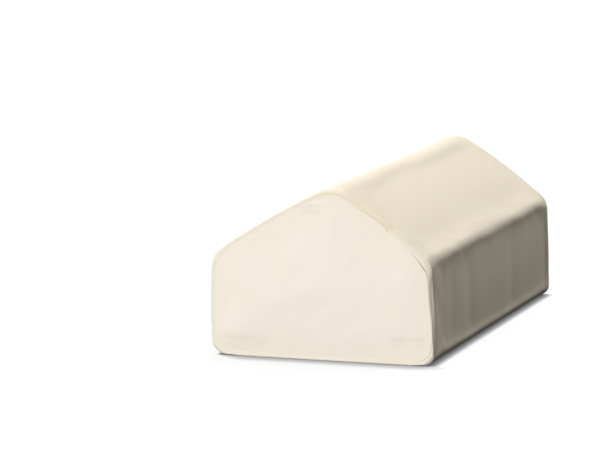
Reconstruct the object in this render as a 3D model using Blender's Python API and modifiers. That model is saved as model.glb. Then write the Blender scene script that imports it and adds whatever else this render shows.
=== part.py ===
"""Knee elevation pillow: a house-shaped filled cushion with a panel of cloth sewn in at each end.

Run it from Blender's text editor, or with blender --background --python part.py. Lengths are in metres and
+Z is up. The ridge runs along Y, and the front end is at -Y. Left is -X and right is +X, as seen from the
front. The origin is at the middle of the base.
"""

import math
from collections import namedtuple

import bmesh
import bpy
from mathutils import Vector

# Overall size
LENGTH = 0.508
WIDTH = 0.254
LEFT_SHOULDER_HEIGHT = 0.1105
RIGHT_SHOULDER_HEIGHT = 0.115
RIGHT_WALL_LEAN = 0.003
RIDGE_HEIGHT = 0.192
RIDGE_SHIFT = 0.0118
WALL_BULGE = 0.0015
SLOPE_BULGE = 0.0035

# The end of the cushion, where the wrap turns over the edge of the block and meets the end panel
EDGE_ROUND = 0.0042
SEAM_INSET = 0.0044
SEAM_DEPTH = 0.0008
PANEL_INSET = 0.0053
RECESS_DEPTH = 0.0030
END_CROWN = 0.0045
CROWN_SPAN = 0.052

# How far from the end the drawn-in shape reaches before the cushion is at its fullest
PULL_LENGTH = 0.038
FULL_LENGTH = 0.090
LEAST_FULLNESS = 0.55

# The end panels
CLOTH_THICKNESS = 0.0022
GAP = 0.0003
PANEL_RIM_ROUND = 0.0013

# How far each foot stands from the middle. The right wall leans in as it swells, so its widest point lies below
# its middle, and it is that point which reaches the full width.
LEFT_FOOT = WIDTH / 2 - WALL_BULGE
WIDEST = math.acos(RIGHT_WALL_LEAN / (math.pi * WALL_BULGE)) / math.pi
RIGHT_FOOT = WIDTH / 2 - WALL_BULGE * math.sin(math.pi * WIDEST) + RIGHT_WALL_LEAN * WIDEST
RIGHT_TOP = RIGHT_FOOT - RIGHT_WALL_LEAN

# The plane that the crowned ends start from: the crown of each end panel reaches half the length beyond it
END_PLANE = LENGTH / 2 - END_CROWN + RECESS_DEPTH - GAP - CLOTH_THICKNESS

# One row for each corner of the outline, anticlockwise seen from the front. The radii are those of the end seam,
# of the block's edge just behind it and of the long middle of the cushion. The last three columns describe the
# arc and the side from this corner to the next one.
Corner = namedtuple("Corner", "name x z seam_radius edge_radius run_radius arc_steps side_steps side_bulge")
CORNERS = [
    Corner("left foot", -LEFT_FOOT, 0, 0.018, 0.016, 0.013, 4, 8, 0),
    Corner("right foot", RIGHT_FOOT, 0, 0.014, 0.011, 0.013, 4, 4, WALL_BULGE),
    Corner("right shoulder", RIGHT_TOP, RIGHT_SHOULDER_HEIGHT, 0.044, 0.024, 0.016, 6, 6, SLOPE_BULGE),
    Corner("ridge", RIDGE_SHIFT, RIDGE_HEIGHT, 0.036, 0.032, 0.031, 8, 11, SLOPE_BULGE),
    Corner("left shoulder", -LEFT_FOOT, LEFT_SHOULDER_HEIGHT, 0.036, 0.027, 0.020, 6, 4, WALL_BULGE),
]

# Distances from the end at which the long middle of the cushion has a section
RUN_DEPTHS = [0.010, 0.018, 0.028, 0.042, 0.058, 0.078, 0.104, 0.140, 0.190, END_PLANE]
EDGE_STEPS = 4

# Distances in from a panel's rim at which it has a ring of points, on its outer and on its inner face
OUTER_RINGS = [0.0013, 0.004, 0.008, 0.013, 0.019, 0.026, 0.034, 0.043, CROWN_SPAN]
INNER_RINGS = [0, 0.004, 0.009, 0.017, 0.030, CROWN_SPAN]
LEAST_RADIUS = 0.006

# How many times more points than the cushion a panel has round its outline, for its creases
PANEL_FINER = 2

# Creases of an end panel: a line between two points of its face, the half width of the trough and its depth.
# A negative depth is a raised fold.
Crease = namedtuple("Crease", "name start end half_width depth")
FRONT_CREASES = [
    Crease("pucker under the ridge", (-0.022, 0.1645), (0.005, 0.1635), 0.0075, 0.0013),
    Crease("fold above the pucker", (-0.012, 0.1715), (0.004, 0.1715), 0.0050, -0.0008),
    Crease("slack over the left foot", (-0.114, 0.0195), (-0.055, 0.0185), 0.0080, 0.0011),
    Crease("slack over the right foot", (0.084, 0.0250), (0.117, 0.0290), 0.0070, 0.0010),
]
BACK_CREASES = [
    Crease("slack over the left foot", (-0.112, 0.0220), (-0.070, 0.0190), 0.0080, 0.0009),
    Crease("slack over the right foot", (0.060, 0.0190), (0.114, 0.0200), 0.0080, 0.0010),
]

WRAP_COLOUR = "#EFE7D6"
PANEL_COLOUR = "#F1EADC"
CLOTH_ROUGHNESS = 0.92

OUT = {"front": -1, "back": 1}


def smooth(value):
    """Eases a share from 0 to 1 without a kink at either limit."""
    share = min(max(value, 0.0), 1.0)
    return share * share * (3 - 2 * share)


def mix(first, second, share):
    return first + (second - first) * share


def side_normals():
    """The outward direction of the side that follows each corner."""
    normals = []
    for here, after in zip(CORNERS, CORNERS[1:] + CORNERS[:1]):
        along = Vector((after.x - here.x, after.z - here.z)).normalized()
        normals.append(Vector((along.y, -along.x)))
    return normals


def outline(inset, radii, fullness, finer=1):
    """(x, z) points round the house shape, drawn in by inset, with these corner radii and rounded-out sides."""
    normals = side_normals()
    arcs = []
    for index, (corner, radius) in enumerate(zip(CORNERS, radii)):
        before, after = normals[index - 1], normals[index]
        mitre = (before + after) / (1 + before.dot(after))
        centre = Vector((corner.x, corner.z)) - mitre * (inset + radius)
        first_angle = math.atan2(before.y, before.x)
        turn = before.angle(after)
        steps = corner.arc_steps * finer
        angles = [first_angle + turn * step / steps for step in range(steps + 1)]
        arcs.append([centre + radius * Vector((math.cos(a), math.sin(a))) for a in angles])
    points = []
    for index, corner in enumerate(CORNERS):
        points += arcs[index]
        start, end = arcs[index][-1], arcs[(index + 1) % len(arcs)][0]
        steps = corner.side_steps * finer
        for step in range(1, steps):
            share = step / steps
            swell = corner.side_bulge * fullness * math.sin(math.pi * share)
            points.append(start.lerp(end, share) + normals[index] * swell)
    return points


def wrap_outline(depth, inset):
    """The wrap's outline at this depth from the end plane. The end seam makes it rounder and flatter."""
    over_edge = smooth(depth / EDGE_ROUND)
    along_run = smooth((depth - EDGE_ROUND) / PULL_LENGTH)
    radii = []
    for corner in CORNERS:
        radius = mix(corner.seam_radius, corner.edge_radius, over_edge)
        radii.append(mix(radius, corner.run_radius, along_run))
    return outline(inset, radii, mix(LEAST_FULLNESS, 1, smooth(depth / FULL_LENGTH)))


def panel_outline(from_rim, finer=1):
    """An outline parallel to an end panel's rim, and this far in from it."""
    radii = [max(corner.seam_radius - from_rim, LEAST_RADIUS) for corner in CORNERS]
    return outline(PANEL_INSET + from_rim, radii, LEAST_FULLNESS, finer)


def crown(from_rim):
    """How far the filling pushes the end outwards, this far in from the panel's rim."""
    return END_CROWN * (1 - (1 - min(from_rim / CROWN_SPAN, 1)) ** 3)


def crease_depth(point, creases):
    """How far the creases press the face in at a point. Each trough fades out at its ends and its sides."""
    depth = 0.0
    for crease in creases:
        start, end = Vector(crease.start), Vector(crease.end)
        along = end - start
        share = (point - start).dot(along) / along.length_squared
        nearest = start + along * min(max(share, 0.0), 1.0)
        depth += crease.depth * smooth(1 - (point - nearest).length / crease.half_width)
    return depth


def ring(points, depth):
    """An outline's points stood upright, at this depth behind an end plane at y = 0."""
    return [Vector((point.x, depth, point.y)) for point in points]


def loft(name, rings, open_end=False):
    """A mesh through rings of equally many points. Both ends are closed, unless the last stays open."""
    sheet = bmesh.new()
    loops = [[sheet.verts.new(point) for point in points] for points in rings]
    for near, far in zip(loops, loops[1:]):
        for index in range(len(near)):
            sheet.faces.new((near[index - 1], near[index], far[index], far[index - 1]))
    sheet.faces.new(loops[0])
    if not open_end:
        sheet.faces.new(loops[-1])
    bmesh.ops.recalc_face_normals(sheet, faces=sheet.faces)
    mesh = bpy.data.meshes.new(name)
    sheet.to_mesh(mesh)
    sheet.free()
    mesh.shade_smooth()
    mesh.set_sharp_from_angle(angle=math.radians(50))
    return mesh


def recess_rings():
    """The crowned bed of an end panel, from its middle out to the foot of the wall round the panel."""
    reaches = [-GAP] + INNER_RINGS[1:]
    return [ring(panel_outline(reach), RECESS_DEPTH - crown(reach)) for reach in reversed(reaches)]


def edge_rings():
    """The wrap's edge, from the end seam over the round of the block's edge to its full outline."""
    rings = [ring(wrap_outline(SEAM_DEPTH, SEAM_INSET), SEAM_DEPTH)]
    for step in range(EDGE_STEPS + 1):
        angle = math.pi / 2 * (1 - step / EDGE_STEPS)
        depth = EDGE_ROUND * (1 - math.sin(angle))
        inset = EDGE_ROUND * (1 - math.cos(angle))
        rings.append(ring(wrap_outline(depth, inset), depth))
    return rings


def half_cushion_mesh():
    """The front half of the filled cushion in its wrap, from the middle of its end to the open mid length."""
    run = [ring(wrap_outline(depth, 0), depth) for depth in RUN_DEPTHS]
    rings = []
    for points in recess_rings() + edge_rings() + run:
        rings.append([point - Vector((0, END_PLANE, 0)) for point in points])
    return loft("filled_cushion", rings, open_end=True)


def mirror_lengthways(cushion):
    """Adds the other half of a cushion, whose open edge lies at mid length."""
    mirror = cushion.modifiers.new("Like halves", "MIRROR")
    mirror.use_axis = (False, True, False)
    mirror.merge_threshold = 0.0001


def panel_mesh(name, end, creases):
    """An end panel lying on its crowned bed, with its creases pressed into the outer face."""
    inner_depth = RECESS_DEPTH - GAP
    outer_depth = inner_depth - CLOTH_THICKNESS
    rings = []
    for reach in reversed(OUTER_RINGS):
        depth = outer_depth - crown(reach)
        points = panel_outline(reach, PANEL_FINER)
        rings.append([Vector((p.x, depth + crease_depth(p, creases), p.y)) for p in points])
    rings.append(ring(panel_outline(0, PANEL_FINER), outer_depth + PANEL_RIM_ROUND))
    for reach in INNER_RINGS:
        rings.append(ring(panel_outline(reach, PANEL_FINER), inner_depth - crown(reach)))
    return loft(name, [[Vector((p.x, -OUT[end] * p.y, p.z)) for p in points] for points in rings])


def cloth(name, colour):
    """Matt cotton: a Principled BSDF in this sRGB colour."""
    material = bpy.data.materials.new(name)
    material.use_nodes = True
    shader = material.node_tree.nodes["Principled BSDF"]
    channels = [int(colour[start:start + 2], 16) / 255 for start in (1, 3, 5)]
    linear = [c / 12.92 if c <= 0.04045 else ((c + 0.055) / 1.055) ** 2.4 for c in channels]
    shader.inputs["Base Color"].default_value = (*linear, 1)
    shader.inputs["Roughness"].default_value = CLOTH_ROUGHNESS
    shader.inputs["Metallic"].default_value = 0
    return material


def place(mesh, material, y, parent, collection):
    """An object named for its mesh, at this place along the ridge."""
    mesh.materials.append(material)
    piece = bpy.data.objects.new(mesh.name, mesh)
    piece.location = (0, y, 0)
    piece.parent = parent
    collection.objects.link(piece)
    return piece


def main():
    for leftover in list(bpy.data.objects):
        bpy.data.objects.remove(leftover)
    pillow = bpy.data.collections.new("Knee elevation pillow")
    bpy.context.scene.collection.children.link(pillow)
    base = bpy.data.objects.new("base_centre", None)
    pillow.objects.link(base)

    wrap_cloth = cloth("cream_wrap_cotton", WRAP_COLOUR)
    panel_cloth = cloth("cream_panel_cotton", PANEL_COLOUR)
    mirror_lengthways(place(half_cushion_mesh(), wrap_cloth, 0, base, pillow))
    for end, creases in (("front", FRONT_CREASES), ("back", BACK_CREASES)):
        mesh = panel_mesh(f"{end}_end_panel", end, creases)
        place(mesh, panel_cloth, OUT[end] * END_PLANE, base, pillow)


main()
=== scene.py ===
"""Knee elevation pillow: a sewn cotton cover over a filled block, with a cloth panel sewn in at each end.

Run it as a script. Lengths are in metres and +Z is up. The ridge runs along Y and the front end is at -Y.
Left is -X and right is +X, as seen from the front. The origin is at the middle of the base.
"""

import functools
import math

import bmesh
import bpy
import numpy as np
from bpy.props import FloatProperty, FloatVectorProperty, PointerProperty
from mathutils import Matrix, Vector
from mathutils.kdtree import KDTree


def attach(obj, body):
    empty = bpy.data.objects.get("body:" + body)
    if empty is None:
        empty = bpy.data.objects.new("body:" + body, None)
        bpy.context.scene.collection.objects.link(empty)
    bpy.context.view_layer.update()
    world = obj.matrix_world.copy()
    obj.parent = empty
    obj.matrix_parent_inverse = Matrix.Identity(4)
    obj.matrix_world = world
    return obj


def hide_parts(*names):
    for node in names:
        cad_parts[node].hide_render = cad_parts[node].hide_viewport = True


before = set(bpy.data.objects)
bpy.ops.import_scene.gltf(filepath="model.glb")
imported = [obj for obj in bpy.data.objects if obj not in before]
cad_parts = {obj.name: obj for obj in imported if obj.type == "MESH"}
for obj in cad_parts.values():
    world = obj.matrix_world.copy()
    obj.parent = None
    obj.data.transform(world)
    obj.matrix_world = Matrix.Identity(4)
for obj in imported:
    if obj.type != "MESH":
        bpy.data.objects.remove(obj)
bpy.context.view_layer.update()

bl_info = {
    "name": "Knee Elevation Pillow",
    "version": (1, 0, 0),
    "blender": (4, 5, 0),
    "location": "3D View > Sidebar > Pillow",
    "description": "Dresses a house-shaped filled cushion in its sewn cotton cover, on a pale studio floor",
    "category": "Object",
}

# Size of the filled block, as in the part's source
WIDTH = 0.254
WALL_BULGE = 0.0015
SLOPE_BULGE = 0.0035
RIGHT_WALL_LEAN = 0.003
LEFT_FOOT = WIDTH / 2 - WALL_BULGE
WIDEST = math.acos(RIGHT_WALL_LEAN / (math.pi * WALL_BULGE)) / math.pi
RIGHT_FOOT = WIDTH / 2 - WALL_BULGE * math.sin(math.pi * WIDEST) + RIGHT_WALL_LEAN * WIDEST
END_PLANE = 0.250

# Each corner's place, its radius at the end seam, at the block's edge and along the run, and the swell of
# the side that follows it
CORNERS = [
    ((-LEFT_FOOT, 0), (0.018, 0.016, 0.013), 0),
    ((RIGHT_FOOT, 0), (0.014, 0.011, 0.013), WALL_BULGE),
    ((RIGHT_FOOT - RIGHT_WALL_LEAN, 0.115), (0.044, 0.024, 0.016), SLOPE_BULGE),
    ((0.0118, 0.192), (0.036, 0.032, 0.031), SLOPE_BULGE),
    ((-LEFT_FOOT, 0.1105), (0.036, 0.027, 0.020), WALL_BULGE),
]

# The rounding of the end edge, and how far along the run the corners and the sides take their full shape
EDGE_ROUND = 0.0042
PULL_LENGTH = 0.038
FULL_LENGTH = 0.090
LEAST_FULLNESS = 0.55

# An end panel's inset, the depth of its face, its cloth and the bed under it
PANEL_INSET = 0.0053
PANEL_FACE_DEPTH = 0.0005
PANEL_CLOTH = 0.0016
BED_DEPTH = 0.0060

# The crown of an end: its height, its curve and its reach, and the outlines that it is built on
END_CROWN = 0.0045
CROWN_POWER = 1.7
CROWN_REACH = 0.085
CROWN_SPAN = 0.052
SHRINK_LENGTH = 0.040
LEAST_RADIUS = 0.006

# How finely the cloth is divided: points round the wrap, a panel, the plain block and a line of stitches, and
# points to each arc and side of the outline's pattern
ROUND_POINTS = 400
PANEL_POINTS = 520
BLOCK_POINTS = 130
SEAM_LINE_POINTS = 700
ARC_POINTS = 25
SIDE_POINTS = 42

# Depths of the wrap's rings along the run, from the end plane, closer together near the end
RUN_DEPTHS = np.concatenate([np.linspace(0.0080, 0.060, 23), np.linspace(0.065, END_PLANE, 38)])

# How far in from the rim the rings lie: of a bed under a panel, of a panel's inner face and of its outer face
BED_REACHES = (0.088, 0.070, 0.052, 0.030, 0.014, 0.003)
INNER_REACHES = (0.088, 0.070, 0.052, 0.034, 0.020, 0.010, 0.004)
FACE_REACHES = [
    *np.arange(0.0019, 0.034, 0.0010), *np.arange(0.036, CROWN_SPAN, 0.002),
    *np.linspace(CROWN_SPAN, 0.0905, 20),
]

# The wrap's rolled lip at the end seam, from the bottom of the groove up: (depth, inset)
WRAP_LIP = [
    (0.0034, 0.0053), (0.0026, 0.0052), (0.0018, 0.0051), (0.0011, 0.0050), (0.0006, 0.0048),
    (0.00025, 0.0045), (0.00008, 0.0041),
]
LIP_STEPS = 9

# The same lip at the right wall, where the wrap leaves the groove at a slant
SLANTED_LIP = [
    (0.0034, 0.0053), (0.0027, 0.0053), (0.0020, 0.0053), (0.0014, 0.0053), (0.0009, 0.00525),
    (0.0005, 0.00518), (0.0002, 0.0050),
]
SLANT = 42
SLANT_HOLD = 0.75
SLANT_STEPS = 180

# The share of its depth that a closed groove keeps, the shares of its depth and inset that a crisp edge
# loses, and the share of the panel face's depth at which a closed rim lies
LEAST_OPEN = 0.03
CRISP_LOSS = 0.5
CRISP_OUT = 0.3
RIM_FLOOR = 0.4

# The gathers along the seams: their depth, the seam's inset, how soon they begin and how they fade, the
# same on a panel, the least and most waves round the outline in them and in their strong stretches, and
# their seeds
PUCKER_DEPTH = 0.00028
SEAM_INSET = 0.0045
PUCKER_START = 0.0012
PUCKER_FADE = 0.0065
PANEL_PUCKER_SHARE = 0.8
PANEL_PUCKER_START = 0.001
PANEL_PUCKER_FADE = 0.0055
PUCKER_WAVES = (62, 96)
STRETCH_WAVES = (4, 11)
WAVES_IN_A_RIPPLE = 9
FRONT_SEED = 11
BACK_SEED = 23

# How far the seam's wander is felt over the wrap and over a panel, and its draw over a panel
WANDER_FADE = 0.013
PANEL_WANDER_FADE = 0.016
PANEL_DRAW_FADE = 0.030

# The stitches: how deep and how far in they lie, the distance between them, their length and their thread
STITCH_DEPTH = 0.0014
STITCH_INSET = 0.00515
STITCH_PITCH = 0.0032
STITCH_LENGTH = 0.0016
THREAD_THICKNESS = 0.00038
STITCH_SEED = 3

# The panel's rolled rim, from the bottom of the groove up: (distance in from the rim, depth)
PANEL_RIM = [(0, 0.0030), (0, 0.0024), (0.0001, 0.0018), (0.0003, 0.0012), (0.0007, 0.0007), (0.0012, 0.0004)]

# How open the groove of the end seam stands, from 0 for closed to 1, at places round the outline
FRONT_OPENNESS = [
    ((0, 0), 0.0), ((0.095, 0), 0.02), ((0.113, 0.003), 0.22), ((0.1215, 0.014), 0.40),
    ((0.1225, 0.030), 0.18), ((0.1225, 0.052), 0.40), ((0.1215, 0.070), 0.70), ((0.117, 0.103), 1.0),
    ((0.1135, 0.111), 0.85), ((0.108, 0.120), 0.30), ((0.104, 0.1245), 0.06), ((0.099, 0.130), 0.03),
    ((0.078, 0.1435), 0.03), ((0.0742, 0.146), 0.50), ((0.0715, 0.148), 0.35), ((0.066, 0.1515), 0.22),
    ((0.050, 0.1625), 0.18), ((0.034, 0.174), 0.03), ((0.010, 0.181), 0.0), ((-0.030, 0.164), 0.0),
    ((-0.100, 0.125), 0.0), ((-0.121, 0.095), 0.0), ((-0.121, 0.030), 0.03), ((-0.110, 0.004), 0.0),
]
BACK_OPENNESS = [
    ((0, 0), 0.12), ((0.121, 0.050), 0.6), ((0.060, 0.156), 0.3), ((-0.060, 0.148), 0.4),
    ((-0.121, 0.050), 0.7),
]

# How far the end seam wanders inwards at places round the outline. The end edge follows it halfway.
FRONT_WANDER = [
    ((0, 0), 0), ((0.095, 0), 0), ((0.1085, 0.001), 0.0012), ((0.1165, 0.006), 0.0018),
    ((0.1215, 0.014), 0.0006), ((0.1225, 0.045), 0.0002), ((0.1215, 0.075), 0.0024),
    ((0.119, 0.096), 0.0026), ((0.1135, 0.111), 0.0040), ((0.108, 0.120), 0.0042), ((0.101, 0.128), 0.0028),
    ((0.091, 0.1375), 0.0008), ((0.083, 0.1415), 0.0004), ((0.060, 0.156), 0), ((0.010, 0.181), 0),
    ((-0.060, 0.148), 0), ((-0.121, 0.040), 0), ((-0.120, 0.014), 0.0002), ((-0.114, 0.005), 0.0013),
    ((-0.104, 0.001), 0.0008), ((-0.085, 0), 0),
]
BACK_WANDER = [
    ((0, 0), 0), ((0.100, 0.130), 0.0010), ((0.010, 0.181), -0.0002), ((-0.100, 0.125), 0.0006),
]

# The same for the seam alone. The step on the front's right slope is a small pleat.
FRONT_PLEAT = [
    ((0, 0), 0), ((0.096, 0.133), 0), ((0.085, 0.140), 0.0002), ((0.0742, 0.146), 0.0009),
    ((0.0717, 0.1478), -0.0009), ((0.055, 0.159), -0.0002), ((0.040, 0.170), 0),
]
BACK_PLEAT = [
    ((0, 0), 0), ((-0.090, 0.131), 0), ((-0.081, 0.137), 0.0006), ((-0.078, 0.139), -0.0003),
    ((-0.060, 0.148), 0),
]
FRONT_SEAM = (FRONT_OPENNESS, FRONT_WANDER, FRONT_PLEAT)
BACK_SEAM = (BACK_OPENNESS, BACK_WANDER, BACK_PLEAT)

# Where the wrap turns over its end edge at half the usual rounding, from 0 for nowhere to 1
CRISP_EDGE = [
    ((0, 0), 1), ((0.100, 0), 1), ((0.121, 0.015), 0), ((0.010, 0.181), 0), ((-0.121, 0.018), 0),
    ((-0.100, 0), 1),
]

# Where the wrap leaves the groove at a slant, from 0 for nowhere to 1
SLANTED = [
    ((0.100, 0), 0), ((0.1225, 0.016), 0.0), ((0.1225, 0.034), 0.8), ((0.1215, 0.080), 1),
    ((0.119, 0.098), 0.35), ((0.112, 0.114), 0), ((0.104, 0.125), 0), ((-0.060, 0.148), 0),
]

# How far the end seam is drawn out towards the edge, in parts of the usual draw. At 0 it lies as in the part.
DRAWN_OUT = [
    ((0, 0), 1), ((0.095, 0), 0.9), ((0.1085, 0.001), 1.10), ((0.1165, 0.006), 1.10),
    ((0.1215, 0.014), 0.80), ((0.1225, 0.030), 0.90), ((0.1225, 0.052), 0.65), ((0.1215, 0.075), 0.85),
    ((0.119, 0.096), 0.95), ((0.1135, 0.111), 0.40), ((0.108, 0.120), 0.30), ((0.100, 0.130), 0.10),
    ((0.085, 0.140), 0.0), ((0.060, 0.156), 0.0), ((0.030, 0.176), 0.15), ((0.010, 0.181), 0.5),
    ((-0.030, 0.164), 0.9), ((-0.100, 0.125), 1), ((-0.121, 0.095), 0.8), ((-0.121, 0.030), 0.8),
    ((-0.110, 0.002), 0.9),
]
USUAL_DRAW = 0.0030

# How much the wrap is darkened over its end edge, a painted shade, and how much deeper its own tone is along
# the run
PAINTED_EDGE_SHADE = [
    ((0, 0), 0.04), ((0.110, 0), 0.08), ((0.1215, 0.050), 0.30), ((0.119, 0.098), 0.25),
    ((0.110, 0.1165), 0.06), ((0.095, 0.134), 0.14), ((0.060, 0.156), 0.38), ((0.010, 0.181), 0.30),
    ((-0.060, 0.148), 0.12), ((-0.110, 0.120), 0.06), ((-0.121, 0.060), 0.04), ((-0.110, 0), 0.04),
]
RUN_TONE = 0.27
EDGE_SHADE_DEPTH = 0.004
EDGE_SHADE_FADE = 0.012

# Painted shade: in an open groove, the length over which it ends and its reach on a panel's rim, in the
# gathers, along a panel's rim, and the depth of a crease that has all of it
GROOVE_SHADE = 0.5
GROOVE_FADE = 0.0008
RIM_GROOVE = 0.0009
GATHER_SHADE = 0.04
GATHER_SHADE_FADE = 0.010
RIM_SHADE = 0.14
RIM_SHADE_FADE = 0.012
DEEPEST_CREASE = 0.0045

# Soft upright folds of the walls: the side, the distance behind the front, the lean, the half width and the
# depth
WALL_FOLDS = [
    (1, 0.077, 0.06, 0.013, 0.0007), (1, 0.150, -0.05, 0.019, 0.0010), (1, 0.331, 0.10, 0.017, 0.0008),
    (-1, 0.118, 0.08, 0.016, 0.0008), (-1, 0.272, -0.07, 0.021, 0.0010), (-1, 0.409, 0.04, 0.014, 0.0007),
]

# The height of the folds' middle, and where the folds end and how long they fade: inwards from the wall,
# down to the base and up to the slopes
FOLD_MIDDLE = 0.06
FOLD_WALL = (0.112, 0.010)
FOLD_FOOT = 0.030
FOLD_TOP = (0.122, 0.040)

# Creases of an end panel: two points of its face, the half width of the trough and its depth, which is less
# than 0 for a fold that stands out
FRONT_CREASES = [
    ((-0.0150, 0.1656), (-0.0105, 0.1659), 0.0018, 0.0005),
    ((-0.0105, 0.1659), (-0.0005, 0.1646), 0.0020, 0.0003),
    ((-0.0240, 0.1622), (-0.0155, 0.1656), 0.0032, 0.0002),
    ((-0.0150, 0.1592), (-0.0030, 0.1588), 0.0090, 0.0007),
    ((-0.0120, 0.1698), (0.0020, 0.1690), 0.0040, -0.0004),
    ((-0.1160, 0.0200), (-0.0780, 0.0189), 0.0060, 0.0003),
    ((-0.1060, 0.0130), (-0.0680, 0.0120), 0.0150, 0.0005),
    ((0.0900, 0.0262), (0.1190, 0.0292), 0.0048, 0.0002),
    ((0.0860, 0.0205), (0.1150, 0.0232), 0.0120, 0.0005),
]
BACK_CREASES = [
    ((-0.1120, 0.0220), (-0.0700, 0.0190), 0.0075, 0.0002),
    ((-0.1080, 0.0180), (-0.0620, 0.0155), 0.0130, 0.0005),
    ((0.0600, 0.0190), (0.1140, 0.0200), 0.0080, 0.0002),
    ((0.0600, 0.0155), (0.1100, 0.0168), 0.0135, 0.0005),
]

# The cloth's settling over the filling
VOXEL = 0.0055
SETTLING_FRAMES = 20
MOST_MOVE = 0.0022
PANEL_SLACK = 0.5
SEAM_HOLD = 0.0045
BASE_HOLD = 0.004
LOOSE_HOLD = 0.002
CUT_LARGER = 1.03
SLACK_START = 0.003
SLACK_FADE = 0.014
BASE_SLACK_START = 0.001
BASE_SLACK_FADE = 0.012
NEAR_POINTS = 10

# The floor: its half width, its gap under the pillow, its brightness to the camera and to all else, and the
# light that it gives off to the camera alone
FLOOR_REACH = 30
FLOOR_GAP = 0.0003
FLOOR_SEEN = 0.15
FLOOR_UNSEEN = 0.08
FLOOR_GLOW = 0.87

# How far the floor's contact shadow reaches: an axis, two places on it and the reach at each. The least one
# holds.
SHADOW_REACHES = [("Y", -0.258, -0.246, 0.030, 0.009), ("X", -0.118, -0.088, 0.004, 0.030)]
SHADOW_POWER = 1.8
DARKEST_SHADOW = 0.13


def linear(colour):
    """The linear values of an sRGB hex colour."""
    channels = [int(colour[start:start + 2], 16) / 255 for start in (1, 3, 5)]
    return tuple(c / 12.92 if c <= 0.04045 else ((c + 0.055) / 1.055) ** 2.4 for c in channels)


def smooth(value):
    """Eases a share from 0 to 1 without a kink at either limit."""
    share = np.clip(value, 0.0, 1.0)
    return share * share * (3 - 2 * share)


def outline(inset, radii, fullness, count):
    """Evenly spaced (x, z) points round the house shape, anticlockwise from the middle of its base."""
    corners = np.array([place for place, _, _ in CORNERS])
    along = np.roll(corners, -1, axis=0) - corners
    along /= np.linalg.norm(along, axis=1)[:, None]
    normals = np.stack([along[:, 1], -along[:, 0]], axis=1)
    arcs = []
    for index, radius in enumerate(radii):
        before, after = normals[index - 1], normals[index]
        mitre = (before + after) / (1 + before @ after)
        centre = corners[index] - mitre * (inset + radius)
        angles = math.atan2(before[1], before[0]) + math.acos(before @ after) * np.linspace(0, 1, ARC_POINTS)
        arcs.append(centre + radius * np.stack([np.cos(angles), np.sin(angles)], axis=1))
    pattern = []
    for index, (_, _, swell) in enumerate(CORNERS):
        start, end = arcs[index][-1], arcs[(index + 1) % len(arcs)][0]
        share = np.linspace(0, 1, SIDE_POINTS)[1:-1, None]
        side = start + (end - start) * share + normals[index] * swell * fullness * np.sin(math.pi * share)
        pattern += [arcs[index], side]
    pattern = np.concatenate(pattern)
    base_middle = SIDE_POINTS // 2 + ARC_POINTS
    pattern = np.roll(pattern, -base_middle, axis=0)
    closed = np.concatenate([pattern, pattern[:1]])
    reach = np.concatenate([[0], np.cumsum(np.linalg.norm(np.diff(closed, axis=0), axis=1))])
    even = reach[-1] * np.arange(count) / count
    return np.stack([np.interp(even, reach, closed[:, axis]) for axis in (0, 1)], axis=1)


def wrap_outline(depth, inset, count=ROUND_POINTS):
    """The wrap's outline at this depth from the end plane."""
    over_edge = smooth(depth / EDGE_ROUND)
    along_run = smooth((depth - EDGE_ROUND) / PULL_LENGTH)
    radii = []
    for _, (seam, edge, run), _ in CORNERS:
        radius = seam + (edge - seam) * over_edge
        radii.append(radius + (run - radius) * along_run)
    return outline(inset, radii, LEAST_FULLNESS + (1 - LEAST_FULLNESS) * smooth(depth / FULL_LENGTH), count)


def panel_outline(from_rim, count=PANEL_POINTS):
    """An outline this far in from an end panel's rim. Past CROWN_SPAN it shrinks towards the middle."""
    reach = min(from_rim, CROWN_SPAN)
    radii = [max(seam - reach, LEAST_RADIUS) for _, (seam, _, _), _ in CORNERS]
    points = outline(PANEL_INSET + reach, radii, LEAST_FULLNESS, count)
    middle = points.mean(axis=0)
    return middle + (points - middle) * (1 - (from_rim - reach) / SHRINK_LENGTH)


def crown(from_rim):
    """How far the filling pushes the end outwards, this far in from the panel's rim."""
    return END_CROWN * (1 - (1 - min(from_rim / CROWN_REACH, 1)) ** CROWN_POWER)


def inward(points):
    """The inward direction at each point of a closed outline."""
    along = np.roll(points, -1, axis=0) - np.roll(points, 1, axis=0)
    along /= np.linalg.norm(along, axis=1)[:, None]
    return np.stack([-along[:, 1], along[:, 0]], axis=1)


def round_the_seam(table, count):
    """Values that a table gives at places on the outline, eased from place to place round the whole seam."""
    seam = panel_outline(0, count)
    shares = [np.argmin(np.linalg.norm(seam - place, axis=1)) / count for place, _ in table]
    order = np.argsort(shares)
    places = np.array(shares)[order]
    values = np.array([value for _, value in table])[order]
    places = np.concatenate([[places[-1] - 1], places, [places[0] + 1]])
    values = np.concatenate([values[-1:], values, values[:1]])
    here = np.arange(count) / count
    after = np.clip(np.searchsorted(places, here, side="right"), 1, len(places) - 1)
    share = (here - places[after - 1]) / (places[after] - places[after - 1])
    return values[after - 1] + (values[after] - values[after - 1]) * smooth(share)


def ripple(count, slowest, fastest, seed):
    """A smooth uneven wave round a closed outline, from -1 to 1, made of slowest to fastest waves a round."""
    chance = np.random.RandomState(seed)
    here = 2 * math.pi * np.arange(count) / count
    waves = chance.randint(slowest, fastest + 1, WAVES_IN_A_RIPPLE)
    phases = chance.uniform(0, 2 * math.pi, WAVES_IN_A_RIPPLE)
    wave = np.sin(here[:, None] * waves + phases).sum(axis=1)
    return wave / np.abs(wave).max()


def puckers(count, seed):
    """The little gathers along an end seam: about 9 mm apart, and strong in some stretches."""
    return ripple(count, *PUCKER_WAVES, seed) * (0.55 + 0.45 * ripple(count, *STRETCH_WAVES, seed + 1))


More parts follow.
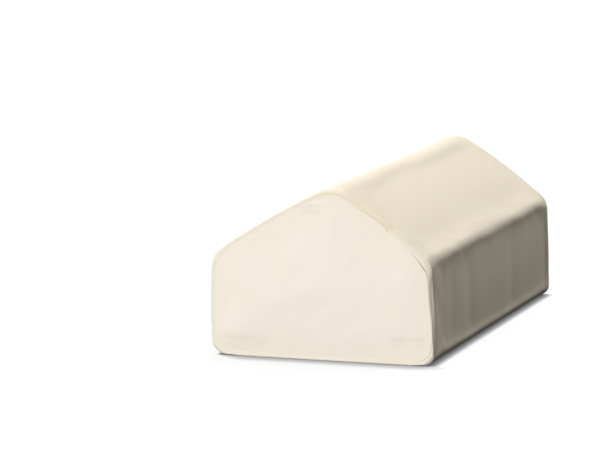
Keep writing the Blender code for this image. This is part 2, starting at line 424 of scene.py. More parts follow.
def crease_depth(points, creases):
    """How far the creases press the face in at each (x, z) point."""
    depth = np.zeros(len(points))
    for start, end, half_width, amount in creases:
        start, along = np.array(start), np.array(end) - start
        share = np.clip((points - start) @ along / (along @ along), 0, 1)
        away = np.linalg.norm(points - start - share[:, None] * along, axis=1)
        depth += amount * smooth(1 - away / half_width)
    return depth


def lofted(name, rings, marks=None, uvs=None):
    """A closed mesh through rings of equally many points. marks give each point's painted shade and cloth
    tone.
    """
    rings = np.array(rings)
    count = rings.shape[1]
    points = rings.reshape(-1, 3)
    here = np.arange(count)
    after = (here + 1) % count
    faces = []
    for ring in range(len(rings) - 1):
        near, far = ring * count, (ring + 1) * count
        faces.append(np.stack([near + here, near + after, far + after, far + here], axis=1))
    faces = np.concatenate(faces).tolist()
    faces += [here[::-1].tolist(), ((len(rings) - 1) * count + here).tolist()]
    mesh = bpy.data.meshes.new(name)
    mesh.from_pydata(points.tolist(), [], faces)
    if marks is not None:
        attribute = mesh.attributes.new("shade_and_tone", "FLOAT", "POINT")
        attribute.data.foreach_set("value", np.array(marks, np.float32).ravel())
    if uvs is not None:
        layer = mesh.uv_layers.new(name="cloth")
        corners = np.empty(len(mesh.loops), np.int32)
        mesh.loops.foreach_get("vertex_index", corners)
        layer.data.foreach_set("uv", np.array(uvs, np.float32).reshape(-1, 2)[corners].ravel())
    sheet = bmesh.new()
    sheet.from_mesh(mesh)
    bmesh.ops.recalc_face_normals(sheet, faces=sheet.faces)
    sheet.to_mesh(mesh)
    sheet.free()
    mesh.shade_smooth()
    return mesh


def shown(name, mesh, material):
    """A piece of the pillow that rides with its one body."""
    mesh.materials.clear()
    mesh.materials.append(material)
    piece = bpy.data.objects.new(name, mesh)
    bpy.context.scene.collection.objects.link(piece)
    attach(piece, "root")
    return piece


def plain_block():
    """The filled block as one plain closed shell, from which the cover's cloth starts to settle."""
    rings = []
    for reach in (0.080, 0.060, 0.044, 0.030, 0.016, 0.006):
        rings.append(np.insert(panel_outline(reach, BLOCK_POINTS), 1, -END_PLANE - crown(reach), axis=1))
    edge = [(0, EDGE_ROUND), (0.0012, 0.0012), (EDGE_ROUND, 0)]
    for depth, inset in edge + [(depth, 0) for depth in np.linspace(0.010, END_PLANE, 40)]:
        rings.append(np.insert(wrap_outline(depth, inset, BLOCK_POINTS), 1, depth - END_PLANE, axis=1))
    rings += [ring * (1, -1, 1) for ring in reversed(rings[:-1])]
    return lofted("plain_block", rings)


@functools.cache
def settled_cloth():
    """Lets the cover's cloth settle. Gives a tree of the block's points, and how far each one moves."""
    scene = bpy.context.scene
    block = bpy.data.objects.new("plain_block", plain_block())
    scene.collection.objects.link(block)
    remesh = block.modifiers.new("Even cloth", "REMESH")
    remesh.mode = "VOXEL"
    remesh.voxel_size = VOXEL
    even = bpy.data.meshes.new_from_object(block.evaluated_get(bpy.context.evaluated_depsgraph_get()))
    block.modifiers.clear()
    block.data = even
    rest = np.empty(len(even.vertices) * 3, np.float32)
    even.vertices.foreach_get("co", rest)
    rest = rest.reshape(-1, 3).astype(float)
    tree = KDTree(len(rest))
    for index, point in enumerate(rest):
        tree.insert(point, index)
    tree.balance()
    moves = np.zeros_like(rest)
    moves = settle(block, rest)
    bpy.data.objects.remove(block)
    return tree, moves


def settle(block, rest):
    """Runs the block's cloth, cut a little larger than the filling and held at its seams and its base."""
    scene = bpy.context.scene
    seam = wrap_outline(0, EDGE_ROUND, 500)
    seams = KDTree(2 * len(seam))
    for index, (x, z) in enumerate(seam):
        seams.insert((x, -END_PLANE, z), 2 * index)
        seams.insert((x, END_PLANE, z), 2 * index + 1)
    seams.balance()
    from_seam = np.array([seams.find(point)[2] for point in rest])
    fixed = (from_seam < SEAM_HOLD) | (rest[:, 2] < BASE_HOLD)
    held = block.vertex_groups.new(name="held")
    held.add(np.nonzero(fixed)[0].tolist(), 1.0, "REPLACE")
    held.add(np.nonzero(~fixed)[0].tolist(), LOOSE_HOLD, "REPLACE")
    block.shape_key_add(name="lying")
    cut = block.shape_key_add(name="cut")
    cut.data.foreach_set("co", (rest * CUT_LARGER).astype(np.float32).ravel())
    cloth = block.modifiers.new("Cover cloth", "CLOTH")
    cloth.settings.quality = 5
    cloth.settings.mass = 0.05
    cloth.settings.bending_stiffness = 120
    cloth.settings.vertex_group_mass = "held"
    cloth.settings.rest_shape_key = cut
    cloth.settings.use_pressure = True
    cloth.settings.uniform_pressure_force = 0.1
    cloth.settings.effector_weights.gravity = 0
    cloth.collision_settings.use_collision = False
    cloth.point_cache.frame_start = 1
    cloth.point_cache.frame_end = SETTLING_FRAMES
    for step in range(1, SETTLING_FRAMES + 1):
        scene.frame_set(step)
    settled = block.evaluated_get(bpy.context.evaluated_depsgraph_get()).data
    lying = np.empty(len(rest) * 3, np.float32)
    settled.vertices.foreach_get("co", lying)
    scene.frame_set(1)
    return lying.reshape(-1, 3) - rest


def slack(points):
    """How far the settled cloth moves each point, capped. The tiny amounts avoid a division by 0."""
    tree, moves = settled_cloth()
    found = np.zeros_like(points)
    for row, point in enumerate(points):
        near = tree.find_n(point, NEAR_POINTS)
        weights = np.array([math.exp(-(away / VOXEL) ** 2) + 1e-9 for _, _, away in near])
        found[row] = weights @ moves[[index for _, index, _ in near]] / weights.sum()
    length = np.linalg.norm(found, axis=1)[:, None] + 1e-12
    return found * (MOST_MOVE * np.tanh(length / MOST_MOVE) / length)


def edge_profiles():
    """The wrap's way out of the groove and over its edge, rounded and then slanted, as (depth, inset)."""
    rounded = [(EDGE_ROUND * (1 - math.sin(angle)), EDGE_ROUND * (1 - math.cos(angle)))
               for angle in np.radians(np.linspace(80, 0, LIP_STEPS))]
    share = (np.arange(SLANT_STEPS) + 0.5) / SLANT_STEPS
    angles = np.radians(SLANT + (90 - SLANT) * np.clip((share - SLANT_HOLD) / (1 - SLANT_HOLD), 0, 1))
    sunk, out = np.cumsum(np.sin(angles)), np.cumsum(np.cos(angles))
    depth, inset = SLANTED_LIP[-1]
    stops = np.arange(1, LIP_STEPS + 1) * SLANT_STEPS // LIP_STEPS - 1
    slanted = [(depth + inset * sunk[stop] / out[-1], inset * (1 - out[stop] / out[-1])) for stop in stops]
    return WRAP_LIP + rounded, SLANTED_LIP + slanted


def fold_depth(points):
    """How far the walls' soft folds press the wrap in at each point."""
    across, along, height = points.T
    depth = np.zeros(len(points))
    for side, place, lean, half_width, amount in WALL_FOLDS:
        from_fold = along + END_PLANE - place - lean * (height - FOLD_MIDDLE)
        depth += amount * np.exp(-(from_fold / half_width) ** 2) * (side * across > 0)
    on_wall = smooth((np.abs(across) - FOLD_WALL[0]) / FOLD_WALL[1]) * smooth(height / FOLD_FOOT)
    return depth * (on_wall * smooth((FOLD_TOP[0] - height) / FOLD_TOP[1]))


def half_wrap(seam, seed):
    """Rings of the wrap from an end seam's groove to mid length, from y = 0, and their painted shade and
    tone.
    """
    openness, wander, pleat = (round_the_seam(table, ROUND_POINTS) for table in seam)
    gather = puckers(ROUND_POINTS, seed)
    crisp = round_the_seam(CRISP_EDGE, ROUND_POINTS)
    slant = round_the_seam(SLANTED, ROUND_POINTS)
    drawn = USUAL_DRAW * round_the_seam(DRAWN_OUT, ROUND_POINTS)
    edge_shade = round_the_seam(PAINTED_EDGE_SHADE, ROUND_POINTS)
    lip_inset = WRAP_LIP[-1][1]
    profile = []
    for step, ((depth, inset), (slanted_depth, slanted_inset)) in enumerate(zip(*edge_profiles())):
        in_lip = step < len(WRAP_LIP)
        share = LEAST_OPEN + (1 - LEAST_OPEN) * openness if in_lip else 1 - CRISP_LOSS * crisp
        outwards = slant * (inset - slanted_inset) + (0 if in_lip else CRISP_OUT * inset * crisp)
        outwards += drawn * min(inset / lip_inset, 1)
        mixed_depth = depth + slant * (slanted_depth - depth)
        profile.append((mixed_depth, inset, share, 0 if in_lip else depth, outwards))
    profile += [(np.full(ROUND_POINTS, depth), 0, 1.0, depth, 0) for depth in RUN_DEPTHS]
    rings, shade_and_tones = [], []
    for depth, inset, share, radii_depth, outwards in profile:
        points = wrap_outline(radii_depth, inset)
        from_seam = max(0.0, SEAM_INSET - inset) + radii_depth
        fade = math.exp(-from_seam / PUCKER_FADE)
        step_in = pleat * fade + wander * math.exp(-from_seam / WANDER_FADE) - outwards
        step_in += PUCKER_DEPTH * gather * fade * (1 - math.exp(-from_seam / PUCKER_START))
        points = points + inward(points) * step_in[:, None]
        rings.append(np.stack([points[:, 0], depth * share, np.maximum(points[:, 1], 0)], axis=1))
        # Painted shade in the open groove, over the end edge and in the gathers; past the edge the wrap takes
        # its own deeper run tone
        groove_shade = GROOVE_SHADE * openness * smooth((inset - lip_inset) / GROOVE_FADE)
        edge_shade_and_run_tone = edge_shade + (RUN_TONE - edge_shade) * smooth((radii_depth - EDGE_SHADE_DEPTH) / EDGE_SHADE_FADE)
        gathered = GATHER_SHADE * math.exp(-from_seam / GATHER_SHADE_FADE) * gather
        shade_and_tones.append(np.clip(groove_shade + edge_shade_and_run_tone + gathered, 0, 1))
    return rings, shade_and_tones


def wrap_mesh():
    """The wrap round the whole block, its two ends closed by the beds that the end panels lie on."""
    front, front_shade_and_tones = half_wrap(FRONT_SEAM, FRONT_SEED)
    back, back_shade_and_tones = half_wrap(BACK_SEAM, BACK_SEED)
    beds = []
    for reach in BED_REACHES:
        points = panel_outline(reach, ROUND_POINTS)
        beds.append(np.insert(points, 1, BED_DEPTH - crown(reach), axis=1))
    front_rings = [ring - (0, END_PLANE, 0) for ring in beds + front]
    back_rings = [(ring - (0, END_PLANE, 0)) * (1, -1, 1) for ring in beds + back]
    rings = np.array(front_rings + back_rings[-2::-1])
    shade_and_tones = [np.ones(ROUND_POINTS)] * len(beds) + front_shade_and_tones
    shade_and_tones += ([np.ones(ROUND_POINTS)] * len(beds) + back_shade_and_tones)[-2::-1]
    flat = rings.reshape(-1, 3)
    behind = END_PLANE - np.abs(flat[:, 1])
    from_base = flat[:, 2] - BASE_SLACK_START
    fade = smooth((behind - SLACK_START) / SLACK_FADE) * smooth(from_base / BASE_SLACK_FADE)
    flat = flat + slack(flat) * fade[:, None]
    flat[:, 0] -= np.sign(flat[:, 0]) * fold_depth(flat)
    flat[:, 2] = np.maximum(flat[:, 2], 0)
    rings = flat.reshape(rings.shape)
    round_lengths = np.linalg.norm(np.diff(rings[:, np.r_[0:ROUND_POINTS, 0]], axis=1), axis=2).cumsum(axis=1)
    run_lengths = np.linalg.norm(np.diff(rings, axis=0, prepend=rings[:1]), axis=2).cumsum(axis=0)
    uvs = np.stack([round_lengths, run_lengths], axis=2)
    return lofted("wrap_cover", rings, shade_and_tones, uvs)


def panel_mesh(name, side, creases, seam, seed):
    """An end panel's cloth: its crowned face with creases and gathers, its rolled rim and its inner face."""
    gather = puckers(PANEL_POINTS, seed)
    openness, wander, pleat = (round_the_seam(table, PANEL_POINTS) for table in seam)
    drawn = USUAL_DRAW * round_the_seam(DRAWN_OUT, PANEL_POINTS)
    share = LEAST_OPEN + (1 - LEAST_OPEN) * openness
    rim_floor = PANEL_FACE_DEPTH * RIM_FLOOR
    inner = [(reach, PANEL_FACE_DEPTH + PANEL_CLOTH) for reach in INNER_REACHES]
    steps = inner + PANEL_RIM + [(reach, PANEL_FACE_DEPTH) for reach in FACE_REACHES]
    rings, shade_and_tones = [], []
    for step, (reach, depth) in enumerate(steps):
        points = panel_outline(reach)
        near_rim = math.exp(-reach / PANEL_PUCKER_FADE)
        step_in = pleat * near_rim + wander * math.exp(-reach / PANEL_WANDER_FADE)
        step_in -= drawn * math.exp(-reach / PANEL_DRAW_FADE)
        points = points + inward(points) * step_in[:, None]
        pressed = crease_depth(points, creases)
        gathered = PANEL_PUCKER_SHARE * PUCKER_DEPTH * gather * near_rim
        deep = depth - crown(reach) + pressed + gathered * (1 - math.exp(-reach / PANEL_PUCKER_START))
        if len(inner) <= step < len(inner) + len(PANEL_RIM):
            deep = rim_floor + (deep - rim_floor) * share
        rings.append(np.stack([points[:, 0], deep, points[:, 1]], axis=1))
        # Painted shade in the open groove, along the rim and in the creases
        groove_shade = GROOVE_SHADE * openness * smooth((RIM_GROOVE - reach) / GROOVE_FADE)
        edge = RIM_SHADE * math.exp(-reach / RIM_SHADE_FADE) * (0.8 + 0.2 * gather)
        shade_and_tones.append(np.clip(groove_shade + edge + np.maximum(pressed, 0) / DEEPEST_CREASE, 0, 1))
    rings = (np.array(rings) - (0, END_PLANE, 0)) * (1, -side, 1)
    flat = rings.reshape(-1, 3)
    reach = np.repeat([reach for reach, _ in steps], PANEL_POINTS)
    flat = flat + PANEL_SLACK * slack(flat) * smooth((reach - SLACK_START) / SLACK_FADE)[:, None]
    uvs = flat[:, [0, 2]]
    return lofted(name, flat.reshape(rings.shape), shade_and_tones, uvs)


def add(tree, kind, settings=(), **links):
    """Adds a node with its settings and inputs, each a socket or a value. at2 is the third input."""
    node = tree.nodes.new(kind)
    for key, value in dict(settings).items():
        setattr(node, key, value)
    for key, value in links.items():
        name = key.replace("_", " ")
        socket = node.inputs[int(name[2:])] if name.startswith("at") else node.inputs[name]
        if isinstance(value, bpy.types.NodeSocket):
            tree.links.new(value, socket)
        else:
            socket.default_value = value
    return node


def woven_cotton(name, colour, shade_and_tone_colour, pitch):
    """Plain woven cotton, undyed and washed: matt, with a faint sheen of short fibres and an uneven thread.

    Real threads lie about 0.45 mm apart, which is finer than a pixel of the picture. The weave is drawn
    coarser, so that a little of its tooth shows.
    """
    material = bpy.data.materials.new(name)
    material.use_nodes = True
    tree = material.node_tree
    shader = tree.nodes["Principled BSDF"]
    shader.inputs["Roughness"].default_value = 0.9
    shader.inputs["Specular IOR Level"].default_value = 0.25
    shader.inputs["Sheen Weight"].default_value = 0.10
    shader.inputs["Sheen Roughness"].default_value = 0.5
    place = add(tree, "ShaderNodeUVMap", {"uv_map": "cloth"}).outputs["UV"]
    turns = 2 * math.pi / pitch
    threads = add(tree, "ShaderNodeVectorMath", {"operation": "SCALE"}, Vector=place, Scale=turns)
    across = add(tree, "ShaderNodeSeparateXYZ", Vector=threads.outputs["Vector"])
    warp = add(tree, "ShaderNodeMath", {"operation": "SINE"}, at0=across.outputs["X"])
    weft = add(tree, "ShaderNodeMath", {"operation": "SINE"}, at0=across.outputs["Y"])
    weave = add(tree, "ShaderNodeMath", {"operation": "MULTIPLY"}, at0=warp.outputs[0], at1=weft.outputs[0])
    # Thick places of the thread are 25 mm long and 1.6 mm wide, along the weft and along the warp
    slubs = []
    for stretch in ((40, 620, 1), (620, 40, 1)):
        drawn = add(tree, "ShaderNodeMapping", Vector=place, Scale=stretch)
        noise = add(tree, "ShaderNodeTexNoise", Vector=drawn.outputs["Vector"], Scale=1.0, Detail=2.0)
        slubs.append(noise.outputs["Fac"])
    slub = add(tree, "ShaderNodeMath", {"operation": "ADD"}, at0=slubs[0], at1=slubs[1])
    height = add(
        tree, "ShaderNodeMath", {"operation": "MULTIPLY_ADD"}, at0=slub.outputs[0], at1=1.6,
        at2=weave.outputs[0],
    )
    bump = add(tree, "ShaderNodeBump", Strength=0.16, Distance=0.00020, Height=height.outputs[0])
    # Washing leaves soft patches about 40 mm across
    soft = add(tree, "ShaderNodeTexNoise", Vector=place, Scale=26.0, Detail=3.0)
    patchy = add(tree, "ShaderNodeMapRange", at0=soft.outputs["Fac"], at1=0.35, at2=0.7, at3=0.0, at4=0.06)
    # The cloth goes towards the darker colour by the painted shade in grooves, gathers, creases and over end
    # edges, by the wrap's own run tone, and by the washed patches
    shade_and_tone = add(tree, "ShaderNodeAttribute", {"attribute_name": "shade_and_tone"}).outputs["Fac"]
    shade = add(
        tree, "ShaderNodeMath", {"operation": "ADD", "use_clamp": True}, at0=shade_and_tone, at1=patchy.outputs[0],
    )
    tint = add(
        tree, "ShaderNodeMix", {"data_type": "RGBA"}, at0=shade.outputs[0], at6=(*colour, 1),
        at7=(*shade_and_tone_colour, 1),
    )
    tree.links.new(tint.outputs[2], shader.inputs["Base Color"])
    tree.links.new(bump.outputs["Normal"], shader.inputs["Normal"])
    return material


def sewing_thread(name, colour):
    """Spun polyester sewing thread: a little glossier than the cloth, with a fine twist."""
    material = bpy.data.materials.new(name)
    material.use_nodes = True
    tree = material.node_tree
    shader = tree.nodes["Principled BSDF"]
    shader.inputs["Roughness"].default_value = 0.6
    shader.inputs["Sheen Weight"].default_value = 0.05
    place = add(tree, "ShaderNodeTexCoord").outputs["Object"]
    # The twist changes about every 0.4 mm
    twist = add(tree, "ShaderNodeTexNoise", Vector=place, Scale=2600.0, Detail=1.0)
    bump = add(tree, "ShaderNodeBump", Strength=0.3, Distance=0.0001, Height=twist.outputs["Fac"])
    darker = tuple(0.86 * channel for channel in colour)
    tint = add(
        tree, "ShaderNodeMix", {"data_type": "RGBA"}, at0=twist.outputs["Fac"], at6=(*darker, 1),
        at7=(*colour, 1),
    )
    tree.links.new(tint.outputs[2], shader.inputs["Base Color"])
    tree.links.new(bump.outputs["Normal"], shader.inputs["Normal"])
    return material


def stitch_tree(material):
    """Geometry Nodes that lay a short arched stitch across a seam line again and again."""
    tree = bpy.data.node_groups.new("Seam stitches", "GeometryNodeTree")
    sockets = {}
    tree.interface.new_socket("Geometry", in_out="INPUT", socket_type="NodeSocketGeometry")
    for name, kind, value in (
        ("Pitch", "NodeSocketFloat", STITCH_PITCH),
        ("Stitch Length", "NodeSocketFloat", STITCH_LENGTH),
        ("Thread Thickness", "NodeSocketFloat", THREAD_THICKNESS),
        ("Seed", "NodeSocketInt", STITCH_SEED),
        ("Outward", "NodeSocketVector", (0, -1, 0)),
    ):
        socket = tree.interface.new_socket(name, in_out="INPUT", socket_type=kind)
        socket.default_value = value
        sockets[name] = socket.identifier
    tree.interface.new_socket("Geometry", in_out="OUTPUT", socket_type="NodeSocketGeometry")
    given = tree.nodes.new("NodeGroupInput").outputs
    line = add(tree, "GeometryNodeMeshToCurve", Mesh=given["Geometry"])
    spaced = add(
        tree, "GeometryNodeResampleCurve", {"mode": "LENGTH"}, Curve=line.outputs["Curve"],
        Length=given["Pitch"],
    )
    along = add(tree, "GeometryNodeInputTangent")
    half = add(tree, "ShaderNodeMath", {"operation": "MULTIPLY"}, at0=given["Stitch Length"], at1=0.5)
    back_half = add(tree, "ShaderNodeMath", {"operation": "MULTIPLY"}, at0=given["Stitch Length"], at1=-0.5)
    rise = add(tree, "ShaderNodeMath", {"operation": "MULTIPLY"}, at0=given["Stitch Length"], at1=0.3)
    start = add(tree, "ShaderNodeCombineXYZ", Y=back_half.outputs[0])
    top = add(tree, "ShaderNodeCombineXYZ", Z=rise.outputs[0])
    end = add(tree, "ShaderNodeCombineXYZ", Y=half.outputs[0])
    arch = add(
        tree, "GeometryNodeCurveQuadraticBezier", Resolution=5, Start=start.outputs[0], Middle=top.outputs[0],
        End=end.outputs[0],
    )
    radius = add(tree, "ShaderNodeMath", {"operation": "MULTIPLY"}, at0=given["Thread Thickness"], at1=0.5)
    section = add(tree, "GeometryNodeCurvePrimitiveCircle", Resolution=6, Radius=radius.outputs[0])
    thread = add(
        tree, "GeometryNodeCurveToMesh", Curve=arch.outputs["Curve"], Profile_Curve=section.outputs["Curve"],
        Fill_Caps=True,
    )
    upright = add(tree, "FunctionNodeAlignRotationToVector", {"axis": "Z"}, Vector=given["Outward"])
    facing = add(
        tree, "FunctionNodeAlignRotationToVector", {"axis": "X", "pivot_axis": "Z"},
        Rotation=upright.outputs[0], Vector=along.outputs[0],
    )
    sway = add(
        tree, "FunctionNodeRandomValue", {"data_type": "FLOAT"}, at2=-0.35, at3=0.15, Seed=given["Seed"],
    )
    turn = add(tree, "ShaderNodeCombineXYZ", Z=sway.outputs[1])
    turned = add(tree, "FunctionNodeRotateRotation", {"rotation_space": "LOCAL"}, Rotation=facing.outputs[0])
    tree.links.new(turn.outputs[0], turned.inputs["Rotate By"])
    stitches = add(
        tree, "GeometryNodeInstanceOnPoints", Points=spaced.outputs["Curve"], Instance=thread.outputs["Mesh"],
        Rotation=turned.outputs[0],
    )
    real = add(tree, "GeometryNodeRealizeInstances", Geometry=stitches.outputs["Instances"])
    soft = add(tree, "GeometryNodeSetShadeSmooth", Geometry=real.outputs["Geometry"])
    made = add(tree, "GeometryNodeSetMaterial", Geometry=soft.outputs["Geometry"], Material=material)
    out = tree.nodes.new("NodeGroupOutput")
    tree.links.new(made.outputs["Geometry"], out.inputs["Geometry"])
    return tree, sockets


def seam_line(side, seam):
    """The line of stitches in the groove of an end seam, as a closed string of edges."""
    count = SEAM_LINE_POINTS
    points = outline(STITCH_INSET, [radius for _, (radius, _, _), _ in CORNERS], LEAST_FULLNESS, count)
    _, wander, pleat = (round_the_seam(table, count) for table in seam)
    drawn = USUAL_DRAW * round_the_seam(DRAWN_OUT, count)
    points = points + inward(points) * (wander + pleat - drawn)[:, None]
    line = np.insert(points, 1, side * (END_PLANE - STITCH_DEPTH), axis=1)
    mesh = bpy.data.meshes.new("seam_line")
    mesh.from_pydata(line.tolist(), [(index, (index + 1) % count) for index in range(count)], [])
    return mesh


def stitched(name, line, outward, material, settings):
    """The stitches along a seam line as one plain mesh."""
    guide = bpy.data.objects.new("seam_guide", line)
    bpy.context.scene.collection.objects.link(guide)
    tree, sockets = stitch_tree(material)
    nodes = guide.modifiers.new("Stitches", "NODES")
    nodes.node_group = tree
    nodes[sockets["Pitch"]] = settings.stitch_pitch
    nodes[sockets["Stitch Length"]] = settings.stitch_length
    nodes[sockets["Thread Thickness"]] = settings.thread_thickness
    nodes[sockets["Seed"]] = STITCH_SEED
    nodes[sockets["Outward"]] = outward
    bpy.context.view_layer.update()
    mesh = bpy.data.meshes.new_from_object(guide.evaluated_get(bpy.context.evaluated_depsgraph_get()))
    mesh.name = name
    bpy.data.objects.remove(guide)
    return mesh


class PillowCloth(bpy.types.PropertyGroup):
    """Colours and weave of the cover."""

    wrap_colour: FloatVectorProperty(
        name="Wrap", description="Colour of the cotton over the slopes, walls and base", subtype="COLOR",
        size=3, min=0, max=1, default=linear("#F2EADA"),
    )
    panel_colour: FloatVectorProperty(
        name="End panels", description="Colour of the cotton at the two ends", subtype="COLOR",
        size=3, min=0, max=1, default=linear("#F2EBDE"),
    )
    # The darker colour that the painted shade in seams, creases and folded edges goes towards; the wrap's run
    # also takes some of it as its own tone
    shade_and_tone_colour: FloatVectorProperty(
        name="Hollows", description="Deeper tone of the cloth in its creases, seams and folded edges",
        subtype="COLOR", size=3, min=0, max=1, default=linear("#DCCBA6"),
    )
    weave_pitch: FloatProperty(
        name="Weave", description="Distance between drawn threads", subtype="DISTANCE", unit="LENGTH",
        default=0.0013, min=0.0003, max=0.005,
    )


class PillowSeams(bpy.types.PropertyGroup):
    """Sizes and colour of the sewing."""

    stitch_pitch: FloatProperty(
        name="Stitch pitch", description="Distance from one stitch to the next", subtype="DISTANCE",
        unit="LENGTH", default=STITCH_PITCH, min=0.0015, max=0.010,
    )
    stitch_length: FloatProperty(
        name="Stitch length", description="Length of thread that shows across the seam", subtype="DISTANCE",
        unit="LENGTH", default=STITCH_LENGTH, min=0.0008, max=0.006,
    )
    thread_thickness: FloatProperty(
        name="Thread", description="Thickness of the sewing thread", subtype="DISTANCE", unit="LENGTH",
        default=THREAD_THICKNESS, min=0.0001, max=0.001,
    )
    thread_colour: FloatVectorProperty(
        name="Thread colour", description="Colour of the sewing thread", subtype="COLOR", size=3,
        min=0, max=1, default=linear("#E9DFC6"),
    )


class PillowStudio(bpy.types.PropertyGroup):
    """Light and floor of the studio."""

    floor_colour: FloatVectorProperty(
        name="Floor", description="Colour of the studio floor", subtype="COLOR", size=3, min=0, max=1,
        default=linear("#FDFDFD"),
    )
    key_strength: FloatProperty(
        name="Key light", description="Strength of the large soft light in front, in watts per square metre",
        default=3.07, min=0, max=20,
    )


class BuildWrap(bpy.types.Operator):
    """Build the wrap: the cloth over the base, walls and slopes, settled over the filling"""

    bl_idname = "pillow.build_wrap"
    bl_label = "Wrap"

    def execute(self, context):
        cloth = context.scene.pillow_cloth
        cotton = woven_cotton("cream_wrap_cotton", cloth.wrap_colour, cloth.shade_and_tone_colour, cloth.weave_pitch)
        wrap = shown("wrap_cover", wrap_mesh(), cotton)
        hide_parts("filled_cushion")
        return {"FINISHED"}


class BuildEndPanels(bpy.types.Operator):
    """Build the house-shaped cloth panel at each end, with its creases"""

    bl_idname = "pillow.build_end_panels"
    bl_label = "End panels"

    def execute(self, context):
        cloth = context.scene.pillow_cloth
        cotton = woven_cotton(
            "cream_panel_cotton", cloth.panel_colour, cloth.shade_and_tone_colour, cloth.weave_pitch,
        )
        cut = panel_outline(0)
        for end, side, creases, seam, seed in (
            ("front", -1, FRONT_CREASES, FRONT_SEAM, FRONT_SEED),
            ("back", 1, BACK_CREASES, BACK_SEAM, BACK_SEED),
        ):
            mesh = panel_mesh(f"{end}_panel_cloth", side, creases, seam, seed)
            panel = shown(f"{end}_panel_cloth", mesh, cotton)
            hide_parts(f"{end}_end_panel")
        return {"FINISHED"}


class SewEndSeams(bpy.types.Operator):
    """Sew the end panels to the wrap, with the stitches that show in the grooves"""

    bl_idname = "pillow.sew_end_seams"
    bl_label = "End seams"

    def execute(self, context):
        seams = context.scene.pillow_seams
        thread = sewing_thread("cream_sewing_thread", seams.thread_colour)
        for end, side, seam in (("front", -1, FRONT_SEAM), ("back", 1, BACK_SEAM)):
            name = f"{end}_seam_stitches"
            mesh = stitched(name, seam_line(side, seam), (0, side, 0), thread, seams)
            if not mesh.polygons:
                raise RuntimeError(f"{name} came out empty")
            shown(name, mesh, thread)
        return {"FINISHED"}


class SetStage(bpy.types.Operator):
    """Set the pale floor, the soft lights and the camera"""

    bl_idname = "pillow.set_stage"
    bl_label = "Studio"

    def execute(self, context):
        studio = context.scene.pillow_studio
        add_floor(studio.floor_colour)
        add_lights(studio.key_strength)
        add_camera()
        return {"FINISHED"}


def add_floor(colour):
    """A large plain floor of painted board, white in the picture."""
    mesh = bpy.data.meshes.new("studio_floor")
    square = ((-1, -1, 0), (1, -1, 0), (1, 1, 0), (-1, 1, 0))
    mesh.from_pydata([[FLOOR_REACH * each for each in corner] for corner in square], [], [(0, 1, 2, 3)])
    board = bpy.data.materials.new("white_painted_board")
    board.use_nodes = True
    tree = board.node_tree
    shader = tree.nodes["Principled BSDF"]
    shader.inputs["Roughness"].default_value = 0.95
    shader.inputs["Specular IOR Level"].default_value = 0.0
    seen = add(tree, "ShaderNodeLightPath")
    # Black flags just outside the picture keep a studio floor from lighting the object. Here the floor is
    # simply dimmer to everything but the eye, and it darkens where the pillow touches it, farthest out in
    # front.
    place = add(tree, "ShaderNodeTexCoord").outputs["Object"]
    across = add(tree, "ShaderNodeSeparateXYZ", Vector=place)
    reaches = []
    for axis, start, end, at_start, at_end in SHADOW_REACHES:
        reaches.append(add(
            tree, "ShaderNodeMapRange", at0=across.outputs[axis], at1=start, at2=end, at3=at_start,
            at4=at_end,
        ).outputs[0])
    reach = add(tree, "ShaderNodeMath", {"operation": "MINIMUM"}, at0=reaches[0], at1=reaches[1])
    near = add(tree, "ShaderNodeAmbientOcclusion", {"samples": 8}, Distance=reach.outputs[0])
    faded = add(tree, "ShaderNodeMath", {"operation": "POWER"}, at0=near.outputs["AO"], at1=SHADOW_POWER)
    contact = add(tree, "ShaderNodeMapRange", at0=faded.outputs[0], at3=DARKEST_SHADOW, at4=1.0)
    bright = add(tree, "ShaderNodeMath", {"operation": "MULTIPLY"}, at0=contact.outputs[0], at1=FLOOR_SEEN)
    share = add(
        tree, "ShaderNodeMix", {"data_type": "FLOAT"}, at0=seen.outputs["Is Camera Ray"], at2=FLOOR_UNSEEN,
    )
    tree.links.new(bright.outputs[0], share.inputs[3])
    tint = add(
        tree, "ShaderNodeMix", {"data_type": "RGBA"}, at0=share.outputs[0], at6=(0, 0, 0, 1),
        at7=(*colour, 1),
    )
    glow = add(tree, "ShaderNodeMath", {"operation": "MULTIPLY"}, at0=contact.outputs[0], at1=FLOOR_GLOW)
    lift = add(
        tree, "ShaderNodeMath", {"operation": "MULTIPLY"}, at0=seen.outputs["Is Camera Ray"],
        at1=glow.outputs[0],
    )
    shader.inputs["Emission Color"].default_value = (1, 1, 1, 1)
    tree.links.new(tint.outputs[2], shader.inputs["Base Color"])
    tree.links.new(lift.outputs[0], shader.inputs["Emission Strength"])
    mesh.materials.append(board)
    floor = bpy.data.objects.new("studio_floor", mesh)
    floor.location = (0, 0, -FLOOR_GAP)
    bpy.context.scene.collection.objects.link(floor)


def add_lights(key_strength):
    """A dim even room light, a soft key low in front on the left, and a softer top light a little behind."""
    scene = bpy.context.scene
    world = bpy.data.worlds.new("studio_room")
    world.use_nodes = True
    world.node_tree.nodes["Background"].inputs["Color"].default_value = (1, 0.95, 0.84, 1)
    world.node_tree.nodes["Background"].inputs["Strength"].default_value = 0.11
    scene.world = world
    for name, direction, share, softness in (
        ("key_light", (-0.27, -0.93, 0.25), 1.0, 30),
        ("top_light", (0.06, 0.52, 0.85), 1.05, 50),
    ):
        light = bpy.data.lights.new(name, "SUN")
        light.energy = key_strength * share
        light.angle = math.radians(softness)
        lamp = bpy.data.objects.new(name, light)
        lamp.rotation_euler = Vector(direction).to_track_quat("Z", "Y").to_euler()
        scene.collection.objects.link(lamp)
    scene.view_settings.view_transform = "Standard"
    scene.view_settings.look = "None"


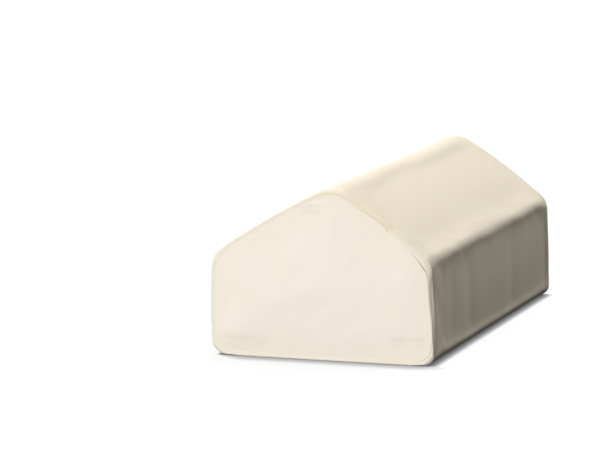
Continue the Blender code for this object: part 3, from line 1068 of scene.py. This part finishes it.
def add_camera():
    """The camera of the photograph, worked out from the cushion's own edges. Its angles are in degrees."""
    lens = bpy.data.cameras.new("photo_camera")
    lens.sensor_width = 36
    lens.lens = 221.8
    lens.clip_end = 200
    camera = bpy.data.objects.new("photo_camera", lens)
    camera.location = (1.1906, -3.9782, 0.7194)
    camera.rotation_euler = (math.radians(90 - 8.4521), 0, math.radians(18.0447))
    bpy.context.scene.collection.objects.link(camera)
    bpy.context.scene.camera = camera


class PillowPanel(bpy.types.Panel):
    """Buttons that build the pillow piece by piece."""

    bl_idname = "VIEW3D_PT_pillow"
    bl_label = "Knee elevation pillow"
    bl_space_type = "VIEW_3D"
    bl_region_type = "UI"
    bl_category = "Pillow"

    def draw(self, context):
        scene = context.scene
        for operator, settings, names in (
            (BuildWrap, scene.pillow_cloth, ("wrap_colour", "shade_and_tone_colour", "weave_pitch")),
            (BuildEndPanels, scene.pillow_cloth, ("panel_colour",)),
            (SewEndSeams, scene.pillow_seams,
             ("stitch_pitch", "stitch_length", "thread_thickness", "thread_colour")),
            (SetStage, scene.pillow_studio, ("floor_colour", "key_strength")),
        ):
            box = self.layout.box()
            box.operator(operator.bl_idname)
            for name in names:
                box.prop(settings, name)


CLASSES = (
    PillowCloth, PillowSeams, PillowStudio, BuildWrap, BuildEndPanels, SewEndSeams, SetStage, PillowPanel,
)


def register():
    for each in CLASSES:
        bpy.utils.register_class(each)
    bpy.types.Scene.pillow_cloth = PointerProperty(type=PillowCloth)
    bpy.types.Scene.pillow_seams = PointerProperty(type=PillowSeams)
    bpy.types.Scene.pillow_studio = PointerProperty(type=PillowStudio)


def unregister():
    del bpy.types.Scene.pillow_studio, bpy.types.Scene.pillow_seams, bpy.types.Scene.pillow_cloth
    for each in reversed(CLASSES):
        bpy.utils.unregister_class(each)


def main():
    register()
    bpy.ops.pillow.build_wrap()
    bpy.ops.pillow.build_end_panels()
    bpy.ops.pillow.sew_end_seams()
    bpy.ops.pillow.set_stage()


if __name__ == "__main__":
    main()
